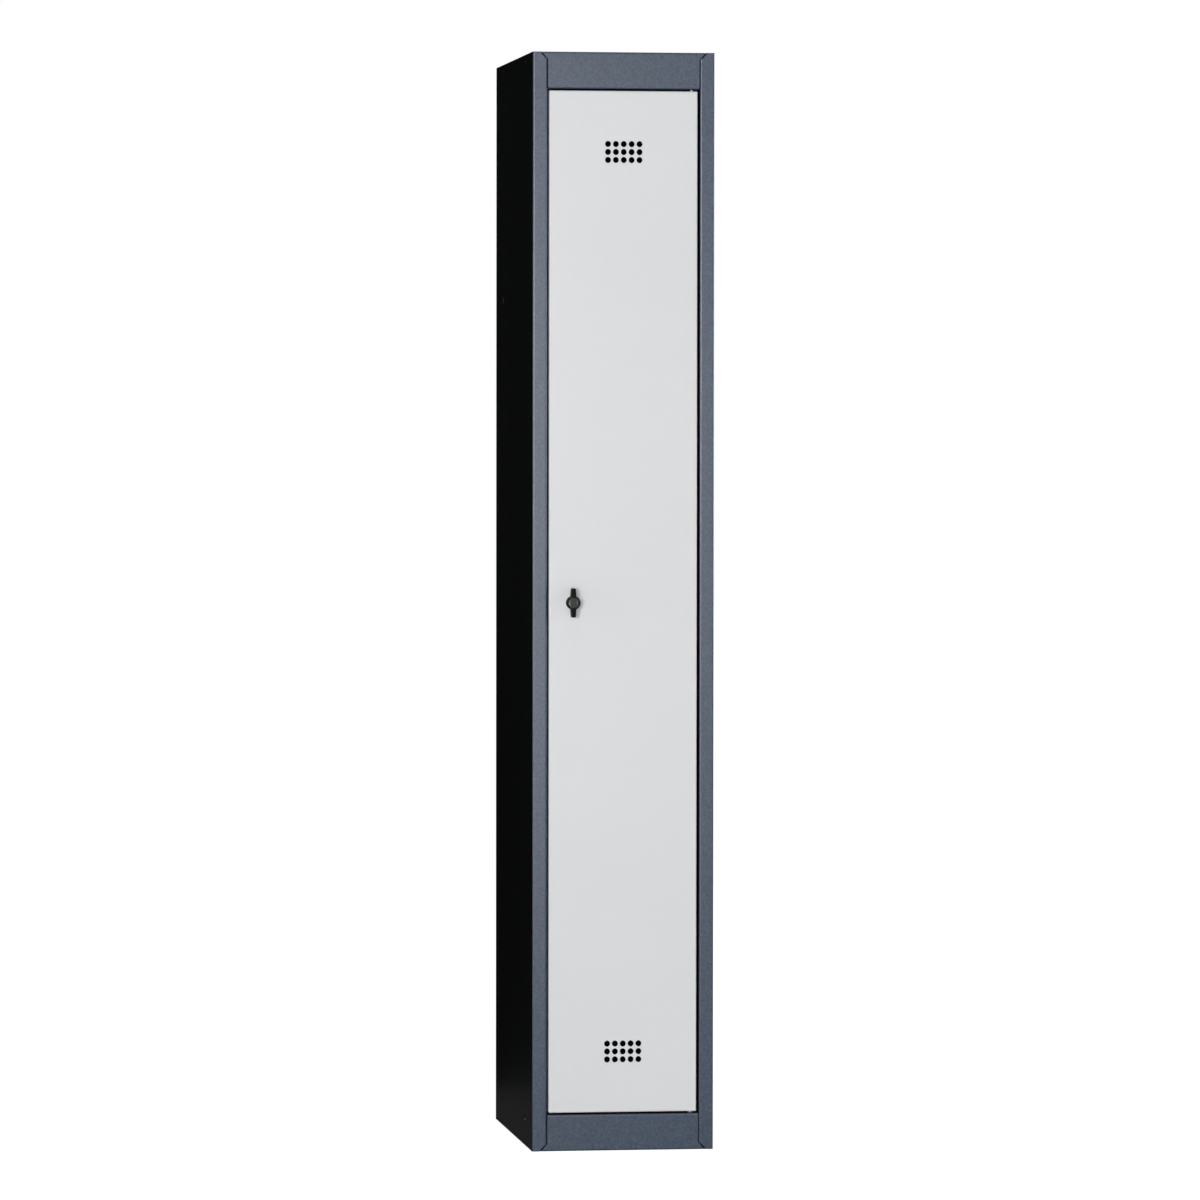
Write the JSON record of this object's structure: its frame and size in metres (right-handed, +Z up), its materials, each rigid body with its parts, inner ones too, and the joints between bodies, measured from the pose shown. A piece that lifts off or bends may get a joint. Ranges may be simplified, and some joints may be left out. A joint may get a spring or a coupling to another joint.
{
  "type": "locker",
  "caption": "Tall narrow steel locker with a vented hinged door, a padlockable turn latch, a hat shelf and a coat rail with sliding hooks.",
  "frame": {"origin": "on the floor, at the middle of the whole footprint, from the knob's front to the back", "axes": "+X to the right seen from the front, +Y from the door to the back, +Z up"},
  "size_m": [0.3, 0.518, 1.8],
  "materials": {
    "frame_paint": "satin slate powder coat",
    "carcass_paint": "matt near-black powder coat",
    "door_paint": "satin light grey powder coat",
    "zinc_plate": "bright zinc plate",
    "bright_steel": "drawn bright steel",
    "black_plastic": "moulded",
    "grey_plastic": "moulded",
    "nylon": "black nylon",
    "black_rubber": "matte"
  },
  "bodies": {
    "carcass": {"left_stile": "frame_paint", "right_stile": "frame_paint", "top_rail": "frame_paint", "bottom_rail": "frame_paint", "left_side": "carcass_paint", "right_side": "carcass_paint", "back_panel": "carcass_paint", "top_panel": "carcass_paint", "floor_panel": "carcass_paint", "hat_shelf": "carcass_paint", "shelf_rivets": "zinc_plate", "coat_rail": "bright_steel", "left_rail_bracket": "bright_steel", "right_rail_bracket": "bright_steel", "bracket_rivets": "zinc_plate", "door_buffers": "black_rubber", "top_pivot_bush": "nylon", "bottom_pivot_bush": "nylon"},
    "door": {"door_skin": "door_paint", "door_stiffener": "door_paint", "top_pivot_block": "zinc_plate", "bottom_pivot_block": "zinc_plate", "top_pivot_pin": "bright_steel", "bottom_pivot_pin": "bright_steel", "thrust_washer": "bright_steel", "lock_body": "zinc_plate", "lock_nut": "zinc_plate"},
    "latch": {"turn_knob": "black_plastic", "knob_cap": "grey_plastic", "spindle": "bright_steel", "cam_washer": "zinc_plate", "latch_cam": "bright_steel", "cam_nut": "zinc_plate"},
    "hook_1": {"hook_1": "black_plastic"},
    "hook_2": {"hook_2": "black_plastic"},
    "hook_3": {"hook_3": "black_plastic"}
  },
  "joints": [
    {"name": "door_swing", "type": "hinge", "parent": "carcass", "child": "door", "pos_m": [0.113, -0.233, 0.9], "axis": [0, 0, 1], "range_deg": [0, 110]},
    {"name": "knob_turn", "type": "hinge", "parent": "door", "child": "latch", "pos_m": [-0.084, -0.241, 0.9], "axis": [0, 1, 0], "range_deg": [0, 90]},
    {"name": "hook_1_slide", "type": "slide", "parent": "carcass", "child": "hook_1", "axis": [1, 0, 0], "range_m": [-0.032, 0.032]},
    {"name": "hook_2_slide", "type": "slide", "parent": "carcass", "child": "hook_2", "axis": [1, 0, 0], "range_m": [-0.032, 0.032]},
    {"name": "hook_3_slide", "type": "slide", "parent": "carcass", "child": "hook_3", "axis": [1, 0, 0], "range_m": [-0.032, 0.032]}
  ]
}
